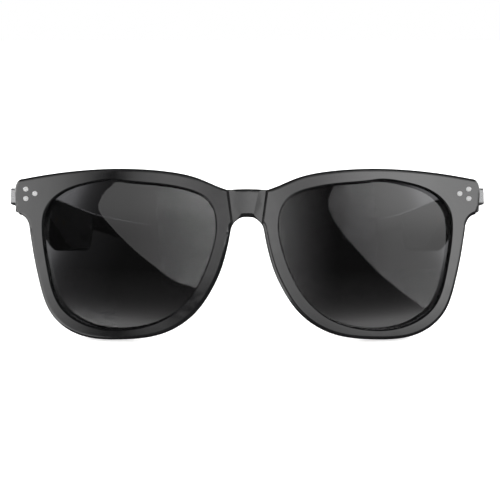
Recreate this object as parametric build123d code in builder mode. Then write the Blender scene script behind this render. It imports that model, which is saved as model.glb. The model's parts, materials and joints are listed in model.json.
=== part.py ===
from build123d import *
import os
from math import asin, atan2, cos, degrees, radians, sin, sqrt, tan

# Smart glasses: an acetate front, two lenses and two hinged temples with speakers in them.
# Everything is drawn in the front's own frame, in millimetres: X across the face, positive to the
# wearer's left, Y rearwards to the ears, Z up along the front. The origin is on the bridge's front
# face. At the end each piece is set down on a table, resting on both rims and both temple tips.

# Front
front_bend = 330.0
front_thickness = 5.7
front_edge_round = 1.1
rear_edge_round = 0.9
notch_points = [(5.75, 2.94), (6.9, -2.0), (8.5, -7.0), (10.8, -11.9)]

# Lenses
lens_radius = 170.0
lens_thickness = 1.8
lens_recess = 0.8
lens_tilt = 7.2
lens_centre = (37.3, -1.5)
lens_hold = 0.8
opening_bevel = 0.4
opening_bevel_depth = 0.8
rear_rim_round = 0.4

# Three dot rivets on each end piece
rivet_radius = 0.85
rivet_length = 2.6
rivet_proud = 0.12
rivet_places = [(70.2, 19.3), (70.2, 16.3), (67.2, 17.84)]

# Bridge facets: a ridge and a crease on each side, given at two heights
facet_heights = (30.0, 5.0)
ridge_places = (5.9, 0.7)
crease_places = (7.9, 4.3)
facet_depth = 1.1
crease_width = 0.5

# Hinges: two leaves with knuckles about one screw, on a lug behind each end piece
hinge_x, hinge_y = 66.2, 15.9
hinge_bottom = 12.2
knuckle_radius = 1.6
knuckle_height = 1.5
knuckle_gap = 0.05
knuckle_count = 5
screw_radius = 0.7
screw_fit = 0.03
screw_head_radius = 1.25
screw_head_height = 0.5
leaf_thickness = 1.2
lug_inner, lug_outer = 63.4, 72.9
lug_low, lug_high = 12.2, 21.2
lug_rear = 14.6
leaf_seat = 12.9
leaf_outer = 68.3
lug_start = 9.0

# Temples: a straight front part with the electronics, then an arm that bends inwards to the tip
temple_front, temple_front_low, temple_front_high = 14.8, 12.1, 20.2
toe_in = 6.4
temple_slope = 4.0
inner_start, outer_start = 70.0, 75.2
outer_slant = 4.55
straight_end = 88.0
tip_joint = 100.0
temple_edge_round = 0.8
shell_wall = 1.2
cover_thickness = 1.1
cover_margin = 1.0
seal_thickness = 0.5
edge_wall = 1.7
cover_front, cover_rear = 23.0, 87.0
bay_front, bay_rear = 27.0, 83.5
reach = 120.0
opening_steps, profile_steps = 48, 160

# Trim plate on the temple's front end
trim_front, trim_length, trim_height = 15.1, 8.0, 5.4
trim_proud = 2.1
trim_depth = 0.8
trim_z = 17.3

# Parts in the temple: board, cell, speaker and the small ones
board_length, board_height, board_thickness, board_level = 42.0, 3.2, 0.8, 2.6
battery_length, battery_height, battery_thickness = 16.0, 7.6, 3.0
speaker_length, speaker_height, speaker_thickness = 11.0, 7.6, 3.4
mesh_length, mesh_width, mesh_thickness = 8.0, 2.4, 0.4
pin_radius, pin_length, pin_head_radius = 0.6, 1.9, 0.9
magnet_radius, magnet_thickness = 2.0, 1.2
light_radius, light_length = 0.5, 1.9
cover_screw_radius, cover_screw_length = 0.5, 3.2
cover_screw_head = 1.0
wire_thickness, wire_height = 1.0, 2.4
microphone_port, port_radius = (70.4, 35.2), 0.45
port_mesh_radius, port_mesh_level, port_mesh_thickness = 0.9, 10.5, 0.4

# Button on the right temple's top edge
button_y, button_top_z = 34.0, 18.8
button_length, button_width, button_proud, button_travel = 9.0, 2.2, 0.5, 0.3
button_fit = 0.06
button_outward = 3.4
flange_extra, flange_thickness = 0.35, 0.3
dome_radius, dome_height = 1.5, 0.6


def front_depth(x):
    """Depth of the front's bent face at a distance x from the middle."""
    return front_bend - sqrt(front_bend**2 - x**2)


def inner_x(y):
    """Where the temple's inner face stands at depth y, along its straight part."""
    return inner_start - (y - temple_front) * tan(radians(toe_in))


def outer_x(y):
    """Where the temple's outer face stands at depth y, along its straight part."""
    return outer_start - (y - temple_front) * tan(radians(outer_slant))


def station(y, z, outward=0.0):
    """A plane on the temple's inner face: local x runs rearwards, local y up, the normal outwards."""
    toe, slope = radians(toe_in), radians(temple_slope)
    normal = Vector(cos(toe), sin(toe), 0)
    along = Vector(-sin(toe) * cos(slope), cos(toe) * cos(slope), -sin(slope))
    return Plane(origin=Vector(inner_x(y), y, z) + normal * outward, x_dir=along, z_dir=normal)


def slab(thickness, behind=0.0):
    """The bent sheet between two cylinders, which the front and its mates are cut from."""
    with BuildPart() as sheet:
        with BuildSketch(Plane.XY) as ring:
            with Locations((0, front_bend)):
                Circle(front_bend - behind)
                Circle(front_bend - behind - thickness, mode=Mode.SUBTRACT)
        extrude(amount=40, both=True)
        with BuildSketch(Plane.XZ) as window:
            Rectangle(170, 80)
        extrude(amount=-60, mode=Mode.INTERSECT)
    return sheet.part


# ---------------------------------------------------------------- outlines
with BuildSketch(Plane.XZ) as front_outline:
    with BuildLine() as half_front:
        ThreePointArc((0, 18.98), (3.7, 18.9), (6.2, 18.73))
        Spline((6.2, 18.73), (9.9, 20.11), (14.9, 22.24), (26.1, 24.67), (41.2, 25.52), (56.6, 24.72), (71.3, 22.68))
        Spline((71.3, 22.68), (73.15, 21.9), (73.95, 20.2), (74.05, 17.0), (73.5, 13.2), (72.55, 11.3))
        Spline((72.55, 11.3), (70.65, 10.3), (69.5, 8.4), (69.25, 7.0))
        Spline((69.25, 7.0), (68.1, -0.2), (65.9, -10.3), (61.9, -20.3), (54, -26.3), (39.9, -28.02),
               (26.1, -26.0), (15.9, -19.35), (10.8, -11.9), (8.5, -7.0), (6.9, -2.0), (5.75, 2.94), (5.3, 5.4))
        Spline((5.3, 5.4), (4.56, 7.9), (2.5, 9.84), (0, 10.32), tangents=[(-0.15, 1), (-1, 0)])
        mirror(about=Plane.YZ)
    make_face()

with BuildSketch(Plane.XZ) as opening_outline:
    with BuildLine() as opening_line:
        Spline((39.7, 22.1), (28.2, 20.9), (19.5, 19.4), (12.1, 15.85), (9.47, 9.3), (10.8, -0.65), (15.1, -11.05),
               (23.85, -20.7), (37.1, -25.1), (49.7, -24.1), (58.8, -18.3), (63.4, -5.5), (65.0, 6.9),
               (64.2, 12.6), (58.8, 18.35), (49.7, 21.4), periodic=True)
    make_face()

with BuildSketch(Plane.YZ) as temple_profile:
    with BuildLine() as temple_line:
        Spline((temple_front, temple_front_high), (41, 18.3), (86, 15.1), (110, 13.5), (141.5, 11.7))
        ThreePointArc((141.5, 11.7), (143.6, 10.8), (144.5, 8.8))
        Line((144.5, 8.8), (144.5, 6.4))
        ThreePointArc((144.5, 6.4), (143.9, 5.0), (142.5, 4.4))
        Spline((142.5, 4.4), (130, 4.4), (117, 6.4), (103, 8.5), (92.5, 8.9), tangents=[(-1, 0), (-1, -0.05)])
        Spline((92.5, 8.9), (87.6, 4.0), (80, -0.3), tangents=[(-1, -0.05), (-1, 0)])
        Line((80, -0.3), (63, -0.3))
        Spline((63, -0.3), (52, 2.3), (41, 7.3), (30, 11.3), (temple_front, temple_front_low),
               tangents=[(-1, 0), (-1, 0.02)])
        Line((temple_front, temple_front_low), (temple_front, temple_front_high))
    make_face()


def parallel_outline(outline, amount, steps):
    """An outline grown or shrunk evenly, and redrawn as one closed spline."""
    with BuildSketch() as grown:
        add(outline.sketch_local)
        offset(amount=amount)
    rim = grown.face().outer_wire()
    with BuildSketch() as redrawn:
        with BuildLine():
            Spline(*[rim @ (step / steps) for step in range(steps)], periodic=True)
        make_face()
    return redrawn.sketch


def ribbon(points, half_width):
    """A flat strip of even width about a smooth line that runs mostly along local y, or x when it is long."""
    shift = Vector(half_width, 0) if abs(points[-1][1] - points[0][1]) > 20 else Vector(0, half_width)
    with BuildSketch() as strip:
        with BuildLine():
            first = Spline(*[Vector(*point) + shift for point in points])
            second = Spline(*[Vector(*point) - shift for point in points])
            Line(first @ 0, second @ 0)
            Line(first @ 1, second @ 1)
        make_face()
    return strip.sketch


# ---------------------------------------------------------------- lenses
lens_x, lens_z = lens_centre
lens_axis = Vector(-sin(radians(lens_tilt)), cos(radians(lens_tilt)), 0)
lens_vertex = Vector(lens_x, front_depth(lens_x), lens_z) + lens_axis * lens_recess


def lens_ball(behind):
    """The ball whose surface is the lens's front face, or its rear face when it is smaller."""
    with BuildPart() as ball:
        with Locations(lens_vertex + lens_axis * lens_radius):
            Sphere(lens_radius - behind)
    return ball.part


with BuildPart() as lens:
    with BuildSketch(Plane.XZ) as lens_outline:
        add(parallel_outline(opening_outline, lens_hold - opening_bevel, opening_steps))
    extrude(amount=-40)
    add(lens_ball(0), mode=Mode.INTERSECT)
    add(lens_ball(lens_thickness), mode=Mode.SUBTRACT)

# ---------------------------------------------------------------- hinges
knuckle_pitch = knuckle_height + knuckle_gap
hinge_top = hinge_bottom + knuckle_count * knuckle_pitch - knuckle_gap


def knuckles(first, arm):
    """Every other knuckle from the first one, each with its arm, bored for the screw."""
    with BuildPart() as row:
        for number in range(first, knuckle_count, 2):
            with BuildSketch(Plane.XY.offset(hinge_bottom + number * knuckle_pitch)):
                with Locations((hinge_x, hinge_y)):
                    Circle(knuckle_radius)
                add(arm)
                with Locations((hinge_x, hinge_y)):
                    Circle(screw_radius + screw_fit, mode=Mode.SUBTRACT)
            extrude(amount=knuckle_height)
    return row.part


with BuildSketch() as front_arm:
    with Locations((hinge_x, hinge_y)):
        Rectangle(2 * knuckle_radius, hinge_y - leaf_seat - leaf_thickness / 2, align=(Align.CENTER, Align.MAX))
with BuildSketch() as temple_arm:
    with Locations((hinge_x, hinge_y - 0.6)):
        Rectangle(inner_x(hinge_y) - hinge_x + 0.6, 2.2, align=(Align.MIN, Align.MIN))

with BuildPart() as front_hinge:
    with BuildSketch(Plane.XZ.offset(-leaf_seat)):
        with Locations(((lug_inner + leaf_outer) / 2 + 0.1, (hinge_bottom + hinge_top) / 2)):
            RectangleRounded(leaf_outer - lug_inner - 0.6, hinge_top - hinge_bottom + 0.6, 0.8)
    extrude(amount=-leaf_thickness)
    add(knuckles(0, front_arm.sketch))

with BuildPart() as hinge_screw:
    with BuildSketch(Plane.XY.offset(hinge_bottom - 0.2)):
        with Locations((hinge_x, hinge_y)):
            Circle(screw_radius)
    extrude(amount=hinge_top - hinge_bottom + 0.2)
    with BuildSketch(Plane.XY.offset(hinge_top)):
        with Locations((hinge_x, hinge_y)):
            Circle(screw_head_radius)
            Rectangle(2 * screw_head_radius, 0.35, mode=Mode.SUBTRACT)
    extrude(amount=screw_head_height)
    with BuildSketch(Plane.XY.offset(hinge_top)):
        with Locations((hinge_x, hinge_y)):
            Circle(screw_head_radius)
    extrude(amount=screw_head_height / 2)

with BuildPart() as temple_hinge:
    with BuildSketch(station(temple_front + 4.1, (hinge_bottom + hinge_top) / 2 + 0.2)):
        RectangleRounded(7.0, hinge_top - hinge_bottom - 1.2, 0.8)
    extrude(amount=leaf_thickness)
    add(knuckles(1, temple_arm.sketch))

# ---------------------------------------------------------------- front frame
def facet_cutter():
    """The wedge that leaves one bridge facet: it deepens from the ridge to the crease beside the rim."""
    with BuildPart() as wedge:
        for height, ridge, crease in zip(facet_heights, ridge_places, crease_places):
            with BuildSketch(Plane.XY.offset(height)):
                with BuildLine():
                    Polyline((ridge, -0.5), (ridge, 0), (crease, facet_depth), (crease + crease_width, -0.5), close=True)
                make_face()
        loft()
    return wedge.part


def end_lug():
    """The block behind an end piece, with a lower seat inboard for the hinge leaf."""
    with BuildPart() as lug:
        with BuildSketch(Plane.XZ.offset(-lug_start)):
            with Locations(((lug_inner + lug_outer) / 2, (lug_low + lug_high) / 2)):
                RectangleRounded(lug_outer - lug_inner, lug_high - lug_low, 1.0)
        extrude(amount=lug_start - lug_rear)
        with BuildSketch(Plane.XZ.offset(-leaf_seat)):
            with Locations(((lug_inner + leaf_outer) / 2, (lug_low + lug_high) / 2)):
                Rectangle(leaf_outer - lug_inner, lug_high)
        extrude(amount=leaf_seat - lug_rear, mode=Mode.SUBTRACT)
    return lug.part


def broad_face(part, place):
    """The front's large bent face: place 0 is the front one, place 1 the rear one."""
    return part.faces().filter_by(GeomType.CYLINDER).sort_by(SortBy.AREA)[-2:].sort_by(Axis.Y)[place]


with BuildPart() as front_frame:
    with BuildSketch(Plane.XZ) as front_face:
        add(front_outline.sketch_local)
    extrude(amount=-lug_rear)
    add(slab(front_thickness), mode=Mode.INTERSECT)

    # Lens openings, and softened edges all round
    with BuildSketch(Plane.XZ) as lens_openings:
        add(parallel_outline(opening_outline, -opening_bevel, opening_steps))
        mirror(about=Plane.YZ)
    extrude(amount=-60, mode=Mode.SUBTRACT)
    fillet(broad_face(front_frame, 0).outer_wire().edges(), front_edge_round)
    fillet(broad_face(front_frame, 1).outer_wire().edges(), rear_edge_round)
    rear_rims = [wire.edges() for wire in broad_face(front_frame, 1).inner_wires()]
    fillet([edge for rim in rear_rims for edge in rim], rear_rim_round)
    front_rims = [wire.edges() for wire in broad_face(front_frame, 0).inner_wires()]
    chamfer([edge for rim in front_rims for edge in rim], opening_bevel, opening_bevel_depth,
            reference=broad_face(front_frame, 0))

    # Bridge facets
    add(facet_cutter(), mode=Mode.SUBTRACT)
    mirror(facet_cutter(), about=Plane.YZ, mode=Mode.SUBTRACT)

    # Lugs that the temples close against
    add(end_lug())
    mirror(end_lug(), about=Plane.YZ)

    # Seats for the hinge leaves, grooves for the lenses, and holes for the rivets
    add(front_hinge.part, mode=Mode.SUBTRACT)
    mirror(front_hinge.part, about=Plane.YZ, mode=Mode.SUBTRACT)
    add(lens.part, mode=Mode.SUBTRACT)
    mirror(lens.part, about=Plane.YZ, mode=Mode.SUBTRACT)
    for side in (-1, 1):
        with Locations(*[(side * x, front_depth(x), z) for x, z in rivet_places]):
            Cylinder(rivet_radius, 2 * rivet_length, rotation=(90, 0, 0), mode=Mode.SUBTRACT)

with BuildPart() as rivets:
    for x, z in rivet_places:
        with BuildSketch(Plane.XZ.offset(-front_depth(x) - rivet_length)):
            with Locations((x, z)):
                Circle(rivet_radius)
        extrude(amount=rivet_length + rivet_proud)
    fillet(rivets.edges().filter_by(GeomType.CIRCLE).group_by(Axis.Y)[0], 0.1)

# ---------------------------------------------------------------- nose pads
with BuildPart() as nose_pad:
    for behind, shift, grow in ((4.6, 0.25, 0.0), (11.2, 2.6, -0.5)):
        with BuildSketch(Plane.XZ.offset(-behind)):
            with BuildLine() as pad_line:
                inner_side = Spline(*[(x + shift, z) for x, z in notch_points])
                outer_side = Spline(*[(x + shift + 2.9 + grow, z + 0.6) for x, z in reversed(notch_points)])
                Line(inner_side @ 1, outer_side @ 0)
                Line(outer_side @ 1, inner_side @ 0)
            make_face()
    loft()
    add(slab(front_thickness), mode=Mode.SUBTRACT)
    fillet(nose_pad.faces().sort_by(Axis.Y)[-1].edges(), 0.9)

# ---------------------------------------------------------------- temples
with BuildSketch(Plane.XY) as temple_plan:
    with BuildLine():
        Line((outer_start, temple_front), (outer_x(straight_end), straight_end))
        Spline((outer_x(straight_end), straight_end), (63.2, 108), (56.9, 124.5), (46.8, 148),
               tangents=[(-tan(radians(outer_slant)), 1), (-0.45, 1)])
        Line((46.8, 148), (41.7, 148))
        Spline((41.7, 148), (51.2, 124.5), (56.9, 108), (inner_x(straight_end), straight_end),
               tangents=[(0.4, -1), (tan(radians(toe_in)), -1)])
        Line((inner_x(straight_end), straight_end), (inner_start, temple_front))
        Line((inner_start, temple_front), (outer_start, temple_front))
    make_face()

def runs_along_temple(edge):
    """True for the edges between the temple's faces and its sides, and for the two at its end."""
    span = edge @ 1 - edge @ 0
    return abs(span.Y) > 0.05 or (abs(span.X) < 0.01 and edge.center().Y > tip_joint)


with BuildPart() as temple_blank:
    with BuildSketch(Plane.XY) as plan:
        add(temple_plan.sketch_local)
    extrude(amount=60, both=True)
    with BuildSketch(Plane.YZ) as side:
        add(temple_profile.sketch_local)
    extrude(amount=reach, mode=Mode.INTERSECT)
    fillet(temple_blank.edges().filter_by(runs_along_temple), temple_edge_round)


def layer(y_front, y_rear, near, far, margin):
    """A slice of the temple's straight part: between two depths, and near to far out from its inner face.

    It keeps a margin inside the temple's side view. A far of None reaches to the outer wall.
    """
    with BuildPart() as piece:
        with BuildSketch(Plane.XY):
            with BuildLine():
                corners = [(inner_x(y) + near, y) for y in (y_front, y_rear)]
                if far is None:
                    corners += [(outer_x(y) - shell_wall, y) for y in (y_rear, y_front)]
                else:
                    corners += [(inner_x(y) + far, y) for y in (y_rear, y_front)]
                Polyline(*corners, close=True)
            make_face()
        extrude(amount=60, both=True)
        with BuildSketch(Plane.YZ):
            add(parallel_outline(temple_profile, -margin, profile_steps))
        extrude(amount=reach, mode=Mode.INTERSECT)
    return piece.part


def block(y, z, near, length, height, thickness, corner=0.0):
    """A flat block in line with the temple, centred at depth y and height z, near out from its inner face."""
    with BuildPart() as piece:
        with BuildSketch(station(y, z, near)):
            if corner:
                RectangleRounded(length, height, corner)
            else:
                Rectangle(length, height)
        extrude(amount=thickness)
    return piece.part


def disc(y, z, near, radius, thickness):
    """A round piece whose axis points straight out of the temple."""
    with BuildPart() as piece:
        with BuildSketch(station(y, z, near)):
            Circle(radius)
        extrude(amount=thickness)
    return piece.part


seal_start = cover_thickness
bay_start = cover_thickness + seal_thickness
screw_places = [(24.6, 15.6), (85.2, 9.2)]
pin_places = [(41.5, 10.6), (50.5, 9.9)]
light_place = (31.0, 15.0)
grille_place = (77.0, 4.6)

with BuildPart() as temple_cover:
    add(layer(cover_front, cover_rear, 0, cover_thickness, cover_margin))
    for y, z in screw_places:
        add(disc(y, z, 0, cover_screw_head, cover_screw_head * 0.6), mode=Mode.SUBTRACT)
        add(disc(y, z, 0, cover_screw_radius, cover_thickness + 1), mode=Mode.SUBTRACT)
    for y, z in pin_places:
        add(disc(y, z, 0, pin_head_radius, cover_thickness / 2), mode=Mode.SUBTRACT)
        add(disc(y, z, 0, pin_radius, cover_thickness + 1), mode=Mode.SUBTRACT)
    add(disc(*light_place, 0, light_radius, cover_thickness + 1), mode=Mode.SUBTRACT)
    add(block(*grille_place, 0, mesh_length, mesh_width, mesh_thickness, mesh_width / 2 - 0.01), mode=Mode.SUBTRACT)
    add(block(*grille_place, 0, mesh_length - 1, mesh_width - 1, 3, (mesh_width - 1) / 2 - 0.01), mode=Mode.SUBTRACT)

with BuildPart() as cover_seal:
    add(layer(cover_front, cover_rear, seal_start, bay_start, cover_margin))
    add(layer(bay_front, bay_rear, seal_start, bay_start, edge_wall), mode=Mode.SUBTRACT)
    for y, z in screw_places:
        add(disc(y, z, 0, cover_screw_radius, 3), mode=Mode.SUBTRACT)

with BuildPart() as cover_screws:
    for y, z in screw_places:
        add(disc(y, z, 0, cover_screw_head, cover_screw_head * 0.6))
        add(disc(y, z, 0, cover_screw_radius, cover_screw_length))
        add(block(y, z, 0, 1.4, 0.3, 0.3), mode=Mode.SUBTRACT)
        add(block(y, z, 0, 0.3, 1.4, 0.3), mode=Mode.SUBTRACT)

# Small parts under the cover
with BuildPart() as circuit_board:
    add(block(48.0, 13.7, board_level, board_length, board_height, board_thickness))
    for y, z, length in ((36.0, 14.5, 5.0), (46.0, 13.8, 7.0), (56.0, 13.1, 4.0)):
        add(block(y, z, board_level + board_thickness, length, 2.4, 0.6))
    for y, z in ((31.0, 14.85), (52.0, 13.4), (61.0, 12.8)):
        add(block(y, z, board_level - 0.5, 2.2, 1.6, 0.5))
battery = block(62.0, 7.0, bay_start + 0.4, battery_length, battery_height, battery_thickness, 1.2)
speaker = block(77.0, 6.4, bay_start + 0.3, speaker_length, speaker_height, speaker_thickness, 1.5)
speaker_mesh = block(*grille_place, 0, mesh_length, mesh_width, mesh_thickness, mesh_width / 2 - 0.01)
flex_cable = block(68.5, 11.2, bay_start + 0.05, 13.0, 1.2, 0.2)
microphone = block(35.2, 12.45, bay_start + 0.4, 2.8, 0.8, 1.6)
antenna = block(77.0, 12.4, board_level, 12.0, 2.2, 0.4)
charging_magnet = disc(46.0, 9.9, bay_start + 0.05, magnet_radius, magnet_thickness)
status_light = disc(*light_place, 0, light_radius, bay_start + 0.4)

with BuildPart() as charging_pins:
    for y, z in pin_places:
        add(disc(y, z, 0, pin_head_radius, cover_thickness / 2))
        add(disc(y, z, 0, pin_radius, pin_length))

touch_outward = (outer_x(40.0) - inner_x(40.0)) * cos(radians(toe_in)) - shell_wall - 0.6
touch_sensor = block(40.0, 14.3, touch_outward, 18.0, 3.0, 0.2)

# Trim plate, set into the shell and standing a little proud of it
trim_seat = (outer_x(trim_front) - inner_x(trim_front)) * cos(radians(toe_in)) - trim_depth
with BuildPart() as trim_plate:
    add(block(trim_front + trim_length / 2, trim_z, trim_seat, trim_length, trim_height, trim_depth + trim_proud, 0.9))
    fillet(trim_plate.faces().sort_by(Axis.X)[-1].edges(), 0.3)

# Flat core wire, bent with the arm
with BuildPart() as core_wire:
    with BuildSketch(Plane.XY):
        add(ribbon([(65.4, 91.0), (60.0, 108), (54.0, 124.5), (48.9, 138.5)], wire_thickness / 2))
    extrude(amount=60, both=True)
    with BuildSketch(Plane.YZ):
        add(ribbon([(91.0, 11.9), (108, 10.9), (124.5, 9.2), (138.5, 8.1)], wire_height / 2))
    extrude(amount=reach, mode=Mode.INTERSECT)

# Tip, from the joint rearwards
with BuildPart() as temple_tip:
    add(temple_blank.part)
    split(bisect_by=Plane.XZ.offset(-tip_joint), keep=Keep.BOTTOM)
    add(core_wire.part, mode=Mode.SUBTRACT)

with BuildPart() as temple_shell:
    add(temple_blank.part)
    split(bisect_by=Plane.XZ.offset(-tip_joint), keep=Keep.TOP)
    add(core_wire.part, mode=Mode.SUBTRACT)
    add(layer(cover_front, cover_rear, 0, bay_start, cover_margin), mode=Mode.SUBTRACT)
    add(layer(bay_front, bay_rear, 0, None, edge_wall), mode=Mode.SUBTRACT)
    add(trim_plate.part, mode=Mode.SUBTRACT)
    add(temple_hinge.part, mode=Mode.SUBTRACT)
    for y, z in screw_places:
        add(disc(y, z, 0, cover_screw_radius, cover_screw_length), mode=Mode.SUBTRACT)
    with BuildSketch(Plane.XY):
        with Locations(microphone_port):
            Circle(port_radius)
    extrude(amount=12.5, mode=Mode.SUBTRACT)
    with BuildSketch(Plane.XY):
        with Locations(microphone_port):
            Circle(port_mesh_radius)
    extrude(amount=port_mesh_level + port_mesh_thickness, mode=Mode.SUBTRACT)

with BuildPart() as microphone_mesh:
    with BuildSketch(Plane.XY.offset(port_mesh_level)):
        with Locations(microphone_port):
            Circle(port_mesh_radius)
    extrude(amount=port_mesh_thickness)

# Button on the right temple's top edge, drawn on the left one and mirrored with it
button_middle = station(button_y, button_top_z, button_outward)
button_plane = Plane(origin=button_middle.origin, x_dir=button_middle.x_dir, z_dir=button_middle.y_dir)
flange_top = -edge_wall + flange_thickness + button_travel


def button_slot(from_level, to_level, gap, extra=0.0):
    """A slot shape between two levels above the temple's top edge, grown by a gap and an extra."""
    with BuildPart() as slot:
        with BuildSketch(button_plane.offset(from_level)):
            SlotOverall(button_length + 2 * (gap + extra), button_width + 2 * (gap + extra))
        extrude(amount=to_level - from_level)
    return slot.part


with BuildPart() as multifunction_button:
    add(button_slot(flange_top, button_proud, 0))
    fillet(multifunction_button.faces().sort_by(Axis.Z)[-1].edges(), 0.25)
    add(button_slot(flange_top - flange_thickness, flange_top, 0, flange_extra))

dome_top = flange_top - flange_thickness - button_fit
with BuildPart() as button_dome:
    with BuildSketch(button_plane.offset(dome_top - dome_height)):
        Circle(dome_radius)
    extrude(amount=dome_height - button_travel)

with BuildPart() as button_shell:
    add(temple_shell.part)
    add(button_slot(-3, 3, button_fit), mode=Mode.SUBTRACT)
    add(button_slot(-3, flange_top + button_fit, button_fit, flange_extra), mode=Mode.SUBTRACT)

# ---------------------------------------------------------------- setting down and writing out
rim_low = (front_depth(39.9) + front_thickness - rear_edge_round, -28.02 + rear_edge_round)
tip_low, tip_round = (142.5, 6.4), 2.0
run, rise = tip_low[0] - rim_low[0], tip_low[1] - rim_low[1]
pitch = degrees(atan2(rise, run) - asin((tip_round - rear_edge_round) / sqrt(run**2 + rise**2)))

side_pieces = {
    "lens": lens,
    "rivets": rivets,
    "nose_pad": nose_pad,
    "front_hinge": front_hinge,
    "hinge_screw": hinge_screw,
    "temple_shell": temple_shell,
    "temple_tip": temple_tip,
    "core_wire": core_wire,
    "temple_hinge": temple_hinge,
    "trim_plate": trim_plate,
    "temple_cover": temple_cover,
    "cover_seal": cover_seal,
    "cover_screws": cover_screws,
    "circuit_board": circuit_board,
    "battery": battery,
    "speaker": speaker,
    "speaker_mesh": speaker_mesh,
    "flex_cable": flex_cable,
    "microphone": microphone,
    "microphone_mesh": microphone_mesh,
    "antenna": antenna,
    "touch_sensor": touch_sensor,
    "charging_pins": charging_pins,
    "charging_magnet": charging_magnet,
    "status_light": status_light,
}
pieces = {"front_frame": front_frame.part}
for name, piece in side_pieces.items():
    drawn = piece.part if isinstance(piece, BuildPart) else piece
    pieces[name + "_left"] = drawn
    pieces[name + "_right"] = mirror(drawn, about=Plane.YZ)
pieces["temple_shell_right"] = mirror(button_shell.part, about=Plane.YZ)
pieces["multifunction_button"] = mirror(multifunction_button.part, about=Plane.YZ)
pieces["button_dome"] = mirror(button_dome.part, about=Plane.YZ)

leaned = {name: Location((0, 0, 0), (-pitch, 0, 0)) * piece for name, piece in pieces.items()}
boxes = [piece.bounding_box() for piece in leaned.values()]
middle_y = (min(box.min.Y for box in boxes) + max(box.max.Y for box in boxes)) / 2
lowest_z = min(box.min.Z for box in boxes)
set_down = Location((0, -middle_y, -lowest_z))

os.makedirs("parts", exist_ok=True)
for name, piece in leaned.items():
    placed = set_down * piece
    placed.label = name
    export_step(placed, f"parts/{name}.step")
print(f"pitch {pitch:.5f} degrees, moved by {-middle_y:.5f}, {-lowest_z:.5f} mm")
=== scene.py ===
import json
from math import cos, pi, radians, sin, sqrt, tan

import bmesh
import bpy
import numpy as np
from mathutils import Matrix, Vector

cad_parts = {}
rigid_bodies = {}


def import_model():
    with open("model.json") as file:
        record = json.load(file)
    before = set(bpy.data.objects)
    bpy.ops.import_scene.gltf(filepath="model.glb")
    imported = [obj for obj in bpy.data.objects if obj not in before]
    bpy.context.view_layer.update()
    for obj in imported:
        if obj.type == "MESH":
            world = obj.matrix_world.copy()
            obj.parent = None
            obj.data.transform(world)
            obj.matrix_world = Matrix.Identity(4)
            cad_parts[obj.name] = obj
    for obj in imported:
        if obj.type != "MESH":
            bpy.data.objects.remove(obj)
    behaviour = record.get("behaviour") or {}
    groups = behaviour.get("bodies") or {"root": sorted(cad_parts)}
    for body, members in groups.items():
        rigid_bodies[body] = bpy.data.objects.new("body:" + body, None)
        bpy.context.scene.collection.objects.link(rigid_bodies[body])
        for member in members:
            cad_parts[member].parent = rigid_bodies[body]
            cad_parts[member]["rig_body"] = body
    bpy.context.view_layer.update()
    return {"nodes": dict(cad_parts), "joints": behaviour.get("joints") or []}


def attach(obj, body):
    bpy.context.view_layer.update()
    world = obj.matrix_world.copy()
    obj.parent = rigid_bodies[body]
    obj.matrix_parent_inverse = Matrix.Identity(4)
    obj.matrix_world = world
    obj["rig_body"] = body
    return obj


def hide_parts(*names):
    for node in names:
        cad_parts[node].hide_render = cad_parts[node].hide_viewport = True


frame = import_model()
nodes = frame["nodes"]
sides = ("left", "right")

# ---------------------------------------------------------------- the front's own axes
MM = 0.001
hinge = next(joint for joint in frame["joints"] if joint["name"] == "fold_left")
up = Vector(hinge["axis"]).normalized()
side = Vector((1, 0, 0))
rear = up.cross(side)
hinge_offset = (66.2, 15.9, 16.0)         # of the left hinge from the bridge's front face, in mm
bridge = Vector(hinge["pos_m"]) - MM * (
    hinge_offset[0] * side + hinge_offset[1] * rear + hinge_offset[2] * up)


def at_front(x, y, z):
    """A point given in mm along the front's own axes: sideways, rearwards and up."""
    return bridge + MM * (x * side + y * rear + z * up)


def new_object(name, data):
    """An object in the scene's own collection."""
    made = bpy.data.objects.new(name, data)
    bpy.context.scene.collection.objects.link(made)
    return made


# ---------------------------------------------------------------- camera
camera_distance = 300.0                   # from the bridge, in mm
camera = bpy.data.cameras.new("camera")
camera.lens = 69.84
camera.sensor_width = 36.0
camera.shift_x = 0.0054
camera.clip_start = 0.01
camera.clip_end = 50.0
camera_object = new_object("camera", camera)
camera_axes = Matrix((side, up, -rear)).transposed()
camera_object.matrix_world = Matrix.Translation(at_front(0, -camera_distance, 0)) @ camera_axes.to_4x4()
bpy.context.scene.camera = camera_object
bpy.context.scene.view_settings.view_transform = "Standard"


# ---------------------------------------------------------------- material helpers
noise_low, noise_high = 0.3, 0.7          # most of a noise texture's values lie between these


def new_node(tree, kind, **inputs):
    """A node whose inputs are set to values or joined to other nodes' sockets."""
    made = tree.nodes.new(kind)
    for name, value in inputs.items():
        target = made.inputs[name.replace("_", " ")]
        if isinstance(value, bpy.types.NodeSocket):
            tree.links.new(value, target)
        else:
            target.default_value = value
    return made


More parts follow.
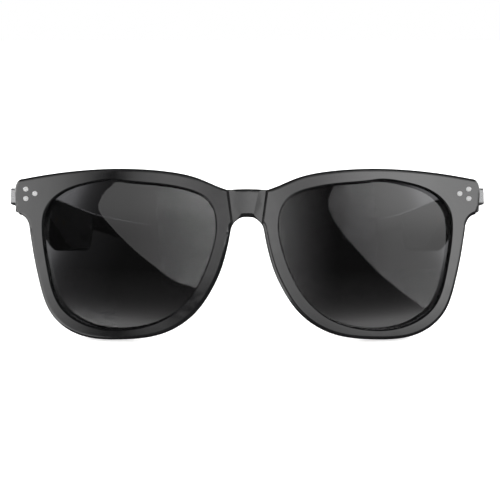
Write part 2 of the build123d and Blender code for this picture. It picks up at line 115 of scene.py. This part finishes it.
class Surface:
    """A Principled material whose colour, roughness and bump vary a little over the surface."""

    def __init__(self, name, color, roughness, **sockets):
        self.material = bpy.data.materials.new(name)
        self.material.use_nodes = True
        self.tree = self.material.node_tree
        self.shader = self.tree.nodes["Principled BSDF"]
        self.shader.inputs["Base Color"].default_value = (*color, 1)
        self.shader.inputs["Roughness"].default_value = roughness
        for socket, value in sockets.items():
            self.shader.inputs[socket.replace("_", " ")].default_value = value
        self.color, self.roughness = color, roughness
        self.place = new_node(self.tree, "ShaderNodeTexCoord").outputs["Object"]

    def noise(self, scale, detail, stretch=(1, 1, 1)):
        """Noise from 0 to 1, its grain stretched along some axes."""
        mapped = new_node(self.tree, "ShaderNodeMapping", Vector=self.place, Scale=stretch)
        texture = new_node(
            self.tree, "ShaderNodeTexNoise", Vector=mapped.outputs[0], Scale=scale, Detail=detail)
        return texture.outputs["Fac"]

    def vary_roughness(self, value, amount):
        """Lets the roughness follow a noise, up to an amount either way."""
        spread = new_node(
            self.tree, "ShaderNodeMapRange", Value=value, From_Min=noise_low, From_Max=noise_high,
            To_Min=max(self.roughness - amount, 0), To_Max=self.roughness + amount)
        self.tree.links.new(spread.outputs["Result"], self.shader.inputs["Roughness"])

    def vary_color(self, value, other):
        """Lets the colour follow a noise, from the material's own colour to another."""
        ramp = new_node(self.tree, "ShaderNodeValToRGB", Fac=value)
        first, last = ramp.color_ramp.elements
        first.position, first.color = noise_low, (*self.color, 1)
        last.position, last.color = noise_high, (*other, 1)
        self.tree.links.new(ramp.outputs["Color"], self.shader.inputs["Base Color"])

    def bump(self, value, strength, distance):
        """Lets a noise stand out as fine relief."""
        relief = new_node(
            self.tree, "ShaderNodeBump", Strength=strength, Distance=distance, Height=value)
        self.tree.links.new(relief.outputs["Normal"], self.shader.inputs["Normal"])


def polished_plastic(name, color, haze, roughness):
    """Tumbled and buffed plastic: a very faint cloudiness, and hairline buffing marks."""
    made = Surface(name, color, roughness, IOR=1.5)
    made.vary_color(made.noise(90, 5), haze)
    made.vary_roughness(made.noise(260, 6, (1, 4, 1)), 0.05)
    made.bump(made.noise(1400, 2), 0.012, 0.00004)
    return made.material


def satin_plastic(name, color, haze, roughness, grain):
    """Moulded plastic with a fine spark-eroded grain."""
    made = Surface(name, color, roughness, IOR=1.48)
    made.vary_color(made.noise(300, 4), haze)
    made.vary_roughness(made.noise(900, 4), 0.06)
    made.bump(made.noise(6000, 3), grain, 0.00006)
    return made.material


def metal(name, color, shade, roughness, stretch, scratches=0.12):
    """Brushed or lapped metal: the scratches run along one way."""
    made = Surface(name, color, roughness, Metallic=1.0, Anisotropic=0.4)
    made.vary_color(made.noise(700, 4, stretch), shade)
    made.vary_roughness(made.noise(2500, 6, stretch), 0.08)
    made.bump(made.noise(4000, 4, stretch), scratches, 0.00003)
    return made.material


def lens_glass(name, color, roughness):
    """Tinted polycarbonate, polished, with the faintest swirl from wiping."""
    made = Surface(name, color, roughness, IOR=1.5, Transmission_Weight=1.0)
    made.vary_roughness(made.noise(40, 5), 0.012)
    return made.material


def frosted(name, color, roughness):
    """Clear plastic with a frosted face."""
    made = Surface(name, color, roughness, IOR=1.5, Transmission_Weight=0.7)
    made.vary_roughness(made.noise(2500, 3), 0.08)
    made.bump(made.noise(5000, 3), 0.1, 0.00004)
    return made.material


finishes = {}
for make, name, *settings in (
        (polished_plastic, "acetate", (0.004, 0.004, 0.0042), (0.0055, 0.0055, 0.0058), 0.1),
        (polished_plastic, "temple_plastic", (0.011, 0.011, 0.0115), (0.014, 0.014, 0.0145), 0.2),
        (satin_plastic, "matte_cover", (0.018, 0.018, 0.019), (0.023, 0.023, 0.024), 0.45, 0.25),
        (lens_glass, "tinted_lens", (0.045, 0.045, 0.047), 0.015),
        (metal, "rivet_steel", (0.97, 0.97, 0.97), (0.9, 0.9, 0.9), 0.3, (1, 1, 1), 0.04),
        (metal, "steel", (0.9, 0.9, 0.91), (0.78, 0.78, 0.8), 0.28, (1, 1, 12)),
        (metal, "plate_steel", (0.62, 0.62, 0.63), (0.55, 0.55, 0.56), 0.28, (1, 1, 12)),
        (metal, "hinge_metal", (0.62, 0.61, 0.58), (0.5, 0.49, 0.47), 0.32, (12, 1, 1)),
        (metal, "mesh_steel", (0.14, 0.14, 0.14), (0.09, 0.09, 0.09), 0.4, (1, 1, 1)),
        (satin_plastic, "seal_rubber", (0.015, 0.015, 0.015), (0.02, 0.02, 0.02), 0.75, 0.3),
        (satin_plastic, "board", (0.01, 0.09, 0.04), (0.012, 0.12, 0.05), 0.4, 0.1),
        (metal, "foil", (0.7, 0.7, 0.72), (0.6, 0.6, 0.62), 0.38, (1, 1, 1), 0.4),
        (satin_plastic, "module_plastic", (0.03, 0.03, 0.03), (0.04, 0.04, 0.04), 0.5, 0.3),
        (satin_plastic, "flex", (0.45, 0.22, 0.03), (0.38, 0.18, 0.02), 0.35, 0.05),
        (metal, "gold", (0.9, 0.66, 0.26), (0.8, 0.56, 0.2), 0.22, (1, 1, 1), 0.05),
        (metal, "magnet", (0.66, 0.66, 0.68), (0.55, 0.55, 0.57), 0.2, (1, 1, 1), 0.05),
        (frosted, "light_pipe", (0.86, 0.9, 0.9), 0.45),
        (satin_plastic, "button_plastic", (0.02, 0.02, 0.021), (0.026, 0.026, 0.027), 0.35, 0.12)):
    finishes[name] = make(name, *settings)

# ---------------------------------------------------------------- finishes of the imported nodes
node_finishes = {
    "front_frame": "acetate", "nose_pad": "acetate", "lens": "tinted_lens", "rivets": "rivet_steel",
    "front_hinge": "hinge_metal", "temple_hinge": "hinge_metal", "hinge_screw": "steel",
    "temple_shell": "temple_plastic", "temple_tip": "temple_plastic", "temple_cover": "matte_cover",
    "core_wire": "hinge_metal", "trim_plate": "plate_steel", "cover_seal": "seal_rubber",
    "cover_screws": "steel", "circuit_board": "board", "battery": "foil", "speaker": "module_plastic",
    "speaker_mesh": "mesh_steel", "flex_cable": "flex", "microphone": "steel",
    "microphone_mesh": "mesh_steel", "antenna": "flex", "touch_sensor": "flex",
    "charging_pins": "gold", "charging_magnet": "magnet", "status_light": "light_pipe",
    "multifunction_button": "button_plastic", "button_dome": "steel",
}


def kind_of(name):
    """A node's name without its side."""
    for which in sides:
        name = name.removesuffix("_" + which)
    return name


for name, thing in nodes.items():
    thing.data.materials.clear()
    thing.data.materials.append(finishes[node_finishes[kind_of(name)]])


# ---------------------------------------------------------------- finer pieces in place of plain ones
def flat_axes(thing):
    """A flat piece's middle and its long, wide and thin axes, each with the piece's size along it."""
    points = np.array([v.co for v in thing.data.vertices])
    axes = np.linalg.svd(points - points.mean(0), full_matrices=False)[2]
    spans = points @ axes.T
    middle = (spans.max(0) + spans.min(0)) / 2 @ axes
    sizes = [float(span) for span in np.ptp(spans, axis=0)]
    return Vector(middle), [Vector(axis) for axis in axes], sizes


def new_piece(name, work, node, finish):
    """Turns a bmesh into a smooth-shaded piece that rides with a node's body and stands for that node."""
    mesh = bpy.data.meshes.new(name)
    bmesh.ops.recalc_face_normals(work, faces=work.faces)
    work.to_mesh(mesh)
    work.free()
    mesh.shade_smooth()
    made = new_object(name, mesh)
    mesh.materials.append(finishes[finish])
    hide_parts(node)
    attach(made, nodes[node]["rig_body"])
    return made


def ring(work, centre, radius, across, other, facets):
    """Corners evenly round a circle in the plane of two axes."""
    turns = [2 * pi * step / facets for step in range(facets)]
    return [work.verts.new(centre + radius * (cos(turn) * across + sin(turn) * other)) for turn in turns]


def skin(work, rings):
    """Faces from each ring to the next, and one over each end."""
    count = len(rings[0])
    for before, after in zip(rings, rings[1:]):
        for step in range(count):
            following = (step + 1) % count
            work.faces.new((before[step], before[following], after[following], after[step]))
    work.faces.new(rings[0])
    work.faces.new(reversed(rings[-1]))


def tube(work, path, radius, facets=6):
    """A closed round wire along a path of points."""
    rings = []
    for index, point in enumerate(path):
        heading = (path[min(index + 1, len(path) - 1)] - path[max(index - 1, 0)]).normalized()
        across = heading.orthogonal().normalized()
        rings.append(ring(work, point, radius, across, heading.cross(across), facets))
    skin(work, rings)


def woven_grille(which):
    """The speaker's grille: two sets of wires, one over and one under, inside a rounded rim."""
    node = "speaker_mesh_" + which
    middle, (long, wide, thin), (length, width, thickness) = flat_axes(nodes[node])
    pitch, wire, rim = 0.3 * MM, 0.065 * MM, 0.14 * MM
    points_per_pitch, fewest_points = 4, 4
    arc_steps, rim_facets = 16, 8
    half_length, half_width = length / 2 - rim, width / 2 - rim
    straight = half_length - half_width
    work = bmesh.new()

    def reach_along(offset):
        """Half the length of a wire that runs along the grille, this far from its middle."""
        return straight + sqrt(max(half_width**2 - offset**2, 0))

    def reach_across(offset):
        """Half the length of a wire that runs across the grille, this far from its middle."""
        return sqrt(max(half_width**2 - max(abs(offset) - straight, 0)**2, 0))

    for run, apart, half_span, reach_at, sign in ((long, wide, half_width, reach_along, 1),
                                                  (wide, long, half_length, reach_across, -1)):
        count = int(half_span / pitch)
        for index in range(-count, count + 1):
            offset = index * pitch
            reach = reach_at(offset)
            if reach <= pitch:
                continue
            pieces = max(int(2 * reach / pitch * points_per_pitch), fewest_points)
            path = []
            for piece in range(pieces + 1):
                along = -reach + 2 * reach * piece / pieces
                over = sign * wire * cos(pi * along / pitch + pi * index)
                path.append(middle + run * along + apart * offset + thin * over)
            tube(work, path, wire)
    outline = []
    for end in (1, -1):
        for step in range(arc_steps + 1):
            angle = -pi / 2 + pi * step / arc_steps
            outline.append(middle + end * long * (straight + half_width * cos(angle))
                           + end * wide * half_width * sin(angle))
    outline.append(outline[0])
    tube(work, outline, min(rim, thickness / 2 - wire), rim_facets)
    return new_piece("woven_grille_" + which, work, node, "mesh_steel")


def islands(mesh):
    """The points of each separate part of a mesh."""
    work = bmesh.new()
    work.from_mesh(mesh)
    bmesh.ops.remove_doubles(work, verts=work.verts, dist=0.001 * MM)
    found, waiting = [], set(work.verts)
    while waiting:
        island, edge = set(), [waiting.pop()]
        while edge:
            vert = edge.pop()
            island.add(vert)
            near = {link.other_vert(vert) for link in vert.link_edges} & waiting
            waiting -= near
            edge.extend(near)
        found.append([vert.co.copy() for vert in island])
    work.free()
    return found


def domed_rivets(which):
    """Three rivets whose heads are polished domes with a fine flat edge."""
    node = "rivets_" + which
    facets, dome_share = 32, 0.94
    # The dome's middle reaches the CAD head's face; its foot, the bevel and the edge lie behind that
    edge_depth, bevel_depth, dome_depth = 0.09 * MM, 0.07 * MM, 0.065 * MM
    bevel_share = 0.97
    work = bmesh.new()
    for island in islands(nodes[node].data):
        depths = [point.dot(rear) for point in island]
        middle = sum(island, Vector()) / len(island)
        radius = max(abs((point - middle).dot(side)) for point in island)
        top, bottom = min(depths), max(depths)
        profile = [(1.0, bottom), (1.0, top + edge_depth), (bevel_share, top + bevel_depth)]
        for degrees in range(0, 81, 10):
            turn = radians(degrees)
            profile.append((dome_share * cos(turn), top + dome_depth * (1 - sin(turn))))
        skin(work, [ring(work, middle + rear * (depth - middle.dot(rear)), share * radius, side, up, facets)
                    for share, depth in profile])
    return new_piece("domed_rivets_" + which, work, node, "rivet_steel")


grilles = [woven_grille(which) for which in sides]
rivet_sets = [domed_rivets(which) for which in sides]

# ---------------------------------------------------------------- floor and surroundings
def ground(reach=4.0, facets=96):
    """A pale floor all round the object, as far as the reach in metres."""
    surface = Surface("ground", (0.86, 0.86, 0.86), 0.8, Emission_Color=(1, 1, 1, 1), Emission_Strength=0.62)
    surface.vary_roughness(surface.noise(3, 2), 0.05)
    mesh = bpy.data.meshes.new("floor")
    work = bmesh.new()
    bmesh.ops.create_circle(work, cap_ends=True, radius=reach, segments=facets)
    work.to_mesh(mesh)
    work.free()
    mesh.materials.append(surface.material)
    made = new_object("floor", mesh)
    made.visible_glossy = False
    made.visible_transmission = False


ground()

# The sky is white, but what mirrors it sees it nearly black, so that the cards make the reflections
world = bpy.data.worlds.new("world")
bpy.context.scene.world = world
world.use_nodes = True
sky_tree = world.node_tree
sky = sky_tree.nodes["Background"]
sky.inputs["Color"].default_value = (1, 1, 1, 1)
sky.inputs["Strength"].default_value = 1.0
mirrored_sky = new_node(sky_tree, "ShaderNodeBackground", Color=(1, 1, 1, 1), Strength=0.05)
light_path = new_node(sky_tree, "ShaderNodeLightPath")
pick = new_node(sky_tree, "ShaderNodeMixShader", Fac=light_path.outputs["Is Glossy Ray"])
sky_tree.links.new(sky.outputs[0], pick.inputs[1])
sky_tree.links.new(mirrored_sky.outputs[0], pick.inputs[2])
sky_tree.links.new(pick.outputs[0], sky_tree.nodes["World Output"].inputs["Surface"])

# ---------------------------------------------------------------- reflector cards
card_distance = 3000.0                    # of a card whose "nearer" is 1, in mm

lenses = bpy.data.collections.new("lenses")
solid_pieces = bpy.data.collections.new("solid_pieces")
plates = bpy.data.collections.new("plates")
for name, thing in nodes.items():
    {"lens": lenses, "trim_plate": plates}.get(kind_of(name), solid_pieces).objects.link(thing)
for thing in grilles:
    solid_pieces.objects.link(thing)
for thing in rivet_sets:
    plates.objects.link(thing)
mirrors = {which: bpy.data.collections.new("lens_mirror_" + which) for which in sides}
for which, mirror in mirrors.items():
    mirror.objects.link(nodes["lens_" + which])


def facing(across, above, nearer=1.0):
    """The point seen at these angles, in degrees, from the bridge, on a card in front of the object."""
    distance = card_distance * nearer
    return at_front(distance * tan(radians(across)), -distance, distance * tan(radians(above)))


def rounded(points, steps=6):
    """A closed Catmull-Rom curve through the points, as an outline of short straight steps."""
    made = []
    for index, point in enumerate(points):
        before, after = points[index - 1], points[(index + 1) % len(points)]
        beyond = points[(index + 2) % len(points)]
        for step in range(steps):
            t = step / steps
            made.append(tuple(
                0.5 * (2 * q + (r - p) * t + (2 * p - 5 * q + 4 * r - s) * t**2
                       + (3 * q - p - 3 * r + s) * t**3)
                for p, q, r, s in zip(before, point, after, beyond)))
    return made


class Glow:
    """The emissive material of a card, as bright as the product of its ramps."""

    def __init__(self, name, strength, nearer=1.0):
        self.name, self.nearer = name, nearer
        self.material = bpy.data.materials.new(name)
        self.material.use_nodes = True
        self.tree = self.material.node_tree
        self.tree.nodes.clear()
        emission = new_node(self.tree, "ShaderNodeEmission", Strength=strength)
        clear = new_node(self.tree, "ShaderNodeBsdfTransparent")
        both = new_node(self.tree, "ShaderNodeAddShader")
        self.tree.links.new(emission.outputs[0], both.inputs[0])
        self.tree.links.new(clear.outputs[0], both.inputs[1])
        new_node(self.tree, "ShaderNodeOutputMaterial", Surface=both.outputs[0])
        self.target = emission.inputs["Strength"]
        self.strength = strength

    def combine(self, operation, value, other):
        """A sum, product or the like of two numbers or sockets."""
        made = new_node(self.tree, "ShaderNodeMath")
        made.operation = operation
        for socket, given in zip(made.inputs, (value, other)):
            if isinstance(given, bpy.types.NodeSocket):
                self.tree.links.new(given, socket)
            else:
                socket.default_value = given
        return made.outputs[0]

    def part(self, axis):
        """One coordinate of the card's own points, in metres."""
        place = new_node(self.tree, "ShaderNodeTexCoord").outputs["Object"]
        return new_node(self.tree, "ShaderNodeSeparateXYZ", Vector=place).outputs[axis]

    def ramp(self, value, stops):
        """Strengths from 0 to 1 at rising values."""
        low, high = stops[0][0], stops[-1][0]
        spread = new_node(self.tree, "ShaderNodeMapRange", Value=value, From_Min=low, From_Max=high)
        ramp = new_node(self.tree, "ShaderNodeValToRGB", Fac=spread.outputs["Result"])
        ramp.color_ramp.interpolation = "B_SPLINE"
        elements = ramp.color_ramp.elements
        while len(elements) < len(stops):
            elements.new(0.5)
        for element, (position, strength) in zip(elements, stops):
            element.position = (position - low) / (high - low)
            element.color = (strength, strength, strength, 1)
        return ramp.outputs["Color"]

    def across(self, stops):
        """A sideways ramp whose stops are given as angles in degrees seen from the bridge."""
        return self.ramp(
            self.part("X"), [(facing(angle, 0, self.nearer).x, level) for angle, level in stops])

    def upward(self, stops):
        """An upward ramp whose stops are given as angles in degrees seen from the bridge."""
        return self.ramp(
            self.part("Z"), [(facing(0, angle, self.nearer).z, level) for angle, level in stops])

    def shine(self, *ramps):
        """Makes the card's brightness its strength times every ramp."""
        level = self.strength
        for value in ramps:
            level = self.combine("MULTIPLY", value, level)
        self.tree.links.new(level, self.target)


def card(glow, corners, mirrored=True, through=False, receivers=None):
    """A flat card that the pieces mirror or show through, and the camera can't see."""
    mesh = bpy.data.meshes.new(glow.name)
    mesh.from_pydata([tuple(corner) for corner in corners], [], [tuple(range(len(corners)))])
    made = new_object(glow.name, mesh)
    mesh.materials.append(glow.material)
    made.visible_camera = False
    made.visible_shadow = False
    made.visible_diffuse = False
    made.visible_glossy = mirrored
    made.visible_transmission = through
    if receivers:
        made.light_linking.receiver_collection = receivers


def front_card(glow, outline, receivers):
    """A card in front of the object, whose outline is given in degrees seen from the bridge."""
    card(glow, [facing(*place, glow.nearer) for place in outline], receivers=receivers)


# The leaf-shaped light that the wearer's right lens mirrors
leaf = Glow("leaf_light", 6.7)
leaf.shine(
    leaf.across([(-32, 0.2), (-22, 0.26), (-16, 0.31), (-10, 0.39), (-5, 0.52), (0, 0.64), (8, 0.7)]),
    leaf.upward([(-10, 0.65), (-3, 0.55), (7, 0.6), (13, 0.95), (22, 1.0)]))
front_card(leaf, rounded([
    (-31, 14.5), (-29.7, 11.5), (-27, 8.1), (-22.7, 3.4), (-18.9, -0.2), (-14.8, -3.5), (-11, -6.4),
    (-7.5, -8.2), (-2.7, -9.2), (6, -9.4), (8, 5), (6, 22), (-9, 25), (-20, 23.6), (-26.5, 20.6),
    (-29.6, 18.4)]), mirrors["right"])

# The light that the left lens mirrors: a glow at the nose, and a sheet whose edge runs down to the temple
nose_glow = Glow("nose_light", 2.6, 0.99)
nose_glow.shine(nose_glow.across([
    (-12, 1.0), (-4, 0.85), (-1.5, 0.65), (0.7, 0.43), (2.8, 0.29), (5, 0.19), (7.1, 0.115), (9.2, 0.055),
    (11.4, 0.023), (13.5, 0.0)]))
front_card(nose_glow, [(-12, -40), (13.5, -40), (13.5, 26), (-12, 26)], mirrors["left"])

sheet_glow = Glow("sheet_light", 3.6, 0.98)
sheet_glow.shine(
    sheet_glow.across([(11, 0.25), (15.6, 0.4), (17.8, 0.6), (22, 0.7), (28.6, 0.92), (45, 1.0), (62, 0.7)]),
    sheet_glow.upward([(-17, 0.55), (0, 0.5), (7, 0.55), (14, 0.9), (25, 1.0)]))
front_card(sheet_glow, rounded([
    (14.6, 19.6), (11.9, 15.0), (12.7, 10.4), (16.3, 4.8), (21.2, -0.8), (25.2, -5.2), (30.8, -10.4),
    (36.3, -15.2), (41, -17.6), (58, -17), (62, 4), (56, 24), (34, 25), (18, 22)]), mirrors["left"])

# The pale ground as the lower part of the lenses mirrors it
ground_glow = Glow("ground_light", 3.0, 0.96)
ground_glow.shine(ground_glow.upward([
    (-40, 1.0), (-23, 1.0), (-19.8, 0.78), (-17.8, 0.33), (-15.8, 0.16), (-13.6, 0.08), (-11.2, 0.05),
    (-8.5, 0.03), (-5, 0.0)]))
front_card(ground_glow, [(-60, -40), (60, -40), (60, -5), (-60, -5)], lenses)

# The broad light that the frame's front mirrors, with a dark strip and a darker oval
broad = Glow("broad_light", 13.0, 0.94)
oval = facing(-9, -3.7, broad.nearer)
oval_half_width, oval_half_height = 0.26, 0.065     # in metres


def squared_part(axis, middle, unit):
    """The square of a point's distance from a middle along one axis, counted in units."""
    offset = broad.combine("SUBTRACT", broad.part(axis), middle)
    return broad.combine("POWER", broad.combine("DIVIDE", offset, unit), 2.0)


from_oval = broad.combine(
    "ADD", squared_part("X", oval.x, oval_half_width), squared_part("Z", oval.z, oval_half_height))
broad.shine(
    broad.across([(-62, 0.3), (-40, 0.28), (-35, 0.24), (-32, 0.19), (-28, 0.1), (-25.5, 0.01), (-24.2, 0.0),
                  (-22.8, 0.0), (-21.4, 0.0), (-20.4, 0.08), (-18, 0.13), (-13, 0.2), (-8, 0.16), (-5, 0.11),
                  (-3.5, 0.15), (-1, 0.16), (0.5, 0.32), (1.5, 0.26), (3, 0.26), (4.5, 0.28), (6, 0.2),
                  (12, 0.17), (17, 0.3), (22, 0.39), (30, 0.46), (35, 0.38), (50, 0.35), (62, 0.3)]),
    broad.upward([(-12, 0.0), (-8, 0.0), (-6.2, 0.25), (-5.4, 0.5), (-4.6, 0.62), (-3.8, 0.8), (-2.8, 1.0),
                  (12, 1.0), (25, 0.6), (42, 0.25), (60, 0.1)]),
    broad.ramp(from_oval, [(0.0, 0.0), (0.7, 0.0), (1.4, 0.4), (2.8, 1.0)]))
front_card(broad, [(-62, -34), (62, -34), (62, 60), (-62, 60)], solid_pieces)

# The light from below on the wearer's right, along the outer edge of that rim
low_glow = Glow("low_light", 3.4, 0.93)
low_glow.shine(
    low_glow.across([(-62, 1.0), (-36, 0.9), (-29, 0.2), (-26, 0.0)]),
    low_glow.upward([(-50, 0.5), (-30, 1.0), (-10, 0.8), (-4, 0.0)]))
front_card(low_glow, [(-62, -50), (-26, -50), (-26, -4), (-62, -4)], solid_pieces)

# A plain card for the bright metal of the trim plates and the rivets
plate_glow = Glow("plate_light", 1.15, 0.92)
plate_glow.shine(plate_glow.across([(-62, 0.9), (-40, 0.75), (0, 0.4), (40, 0.75), (62, 0.9)]))
front_card(plate_glow, [(-62, -34), (62, -34), (62, 45), (-62, 45)], plates)

# Tall soft lights at both sides, for the rounded edges and the temples; sizes and places are in mm
side_distance, side_front, side_high = 2800.0, -2600.0, 1700.0
for sign, name, strength, side_rear, side_low, low_level in (
        (-1, "right_side_light", 3.2, 5000.0, -2300.0, 0.8),
        (1, "left_side_light", 2.2, 1500.0, -500.0, 0.15)):
    flank = Glow(name, strength)
    flank.shine(
        flank.ramp(flank.part("Y"), [
            (-2.6, 0.5), (-1.2, 1.0), (0.2, 0.5), (0.9, 0.8), (side_rear * MM, 0.2)]),
        flank.ramp(flank.part("Z"), [(-0.1, low_level), (0.4, 1.0), (1.1, 0.8), (1.7, 0.1)]))
    card(flank, [at_front(sign * side_distance, y, z) for y, z in (
        (side_front, side_low), (side_rear, side_low), (side_rear, side_high), (side_front, side_high))],
         receivers=solid_pieces)

# A tall soft light behind the wearer, for the faces that look back
back_glow = Glow("back_light", 1.6)
back_depth, back_half_width, back_top = 2200.0, 1700.0, 1900.0
back_glow.shine(
    back_glow.ramp(back_glow.part("X"), [(-1.7, 0.1), (-1.0, 0.8), (0.0, 0.45), (0.8, 1.0), (1.7, 0.1)]),
    back_glow.ramp(back_glow.part("Z"), [(-0.4, 0.0), (0.4, 0.6), (1.0, 1.0), (1.5, 0.2)]))
card(back_glow, [at_front(x, back_depth, z) for x, z in (
    (-back_half_width, 0), (back_half_width, 0), (back_half_width, back_top), (-back_half_width, back_top))])

# What shows through the lenses from the front: pale towards both upper corners, dark between
through_depth, through_half_width, through_low, through_high = 260.0, 420.0, -420.0, 220.0
through_lean = 0.45                       # how fast the pale corners close in with height
beyond = Glow("through_light", 2.6)
sideways = beyond.combine("ABSOLUTE", beyond.part("X"), 0.0)
height = beyond.combine("SUBTRACT", beyond.part("Z"), at_front(0, through_depth, 0).z)
leaning = beyond.combine("ADD", sideways, beyond.combine("MULTIPLY", height, through_lean))
beyond.shine(beyond.ramp(leaning, [
    (0.07, 0.0), (0.077, 0.012), (0.0862, 0.035), (0.0954, 0.06), (0.1, 0.1), (0.1047, 0.16), (0.1093, 0.35),
    (0.114, 0.85), (0.125, 1.0)]))
card(beyond, [at_front(x, through_depth, z) for x, z in (
    (-through_half_width, through_low), (through_half_width, through_low),
    (through_half_width, through_high), (-through_half_width, through_high))], mirrored=False, through=True)


# ---------------------------------------------------------------- lamps
def lamp(name, place, aim, size, power, glossy=False):
    """A square soft light at a point, aimed at another; both are given along the front's axes in mm."""
    light = bpy.data.lights.new(name, "AREA")
    light.size = size
    light.energy = power
    made = new_object(name, light)
    made.location = at_front(*place)
    towards = at_front(*aim) - made.location
    made.rotation_euler = towards.to_track_quat("-Z", "Y").to_euler()
    made.visible_glossy = glossy
    made.visible_camera = False
    made.visible_transmission = False


lamp("front_fill", (120, -1200, 150), (0, 0, 0), 0.9, 14)
lamp("left_fill", (-1300, 300, 500), (0, 60, 0), 0.9, 12, glossy=True)
lamp("right_fill", (1300, 300, 500), (0, 60, 0), 0.9, 12, glossy=True)
lamp("rear_fill", (0, 1500, 700), (0, 60, 0), 1.0, 12, glossy=True)
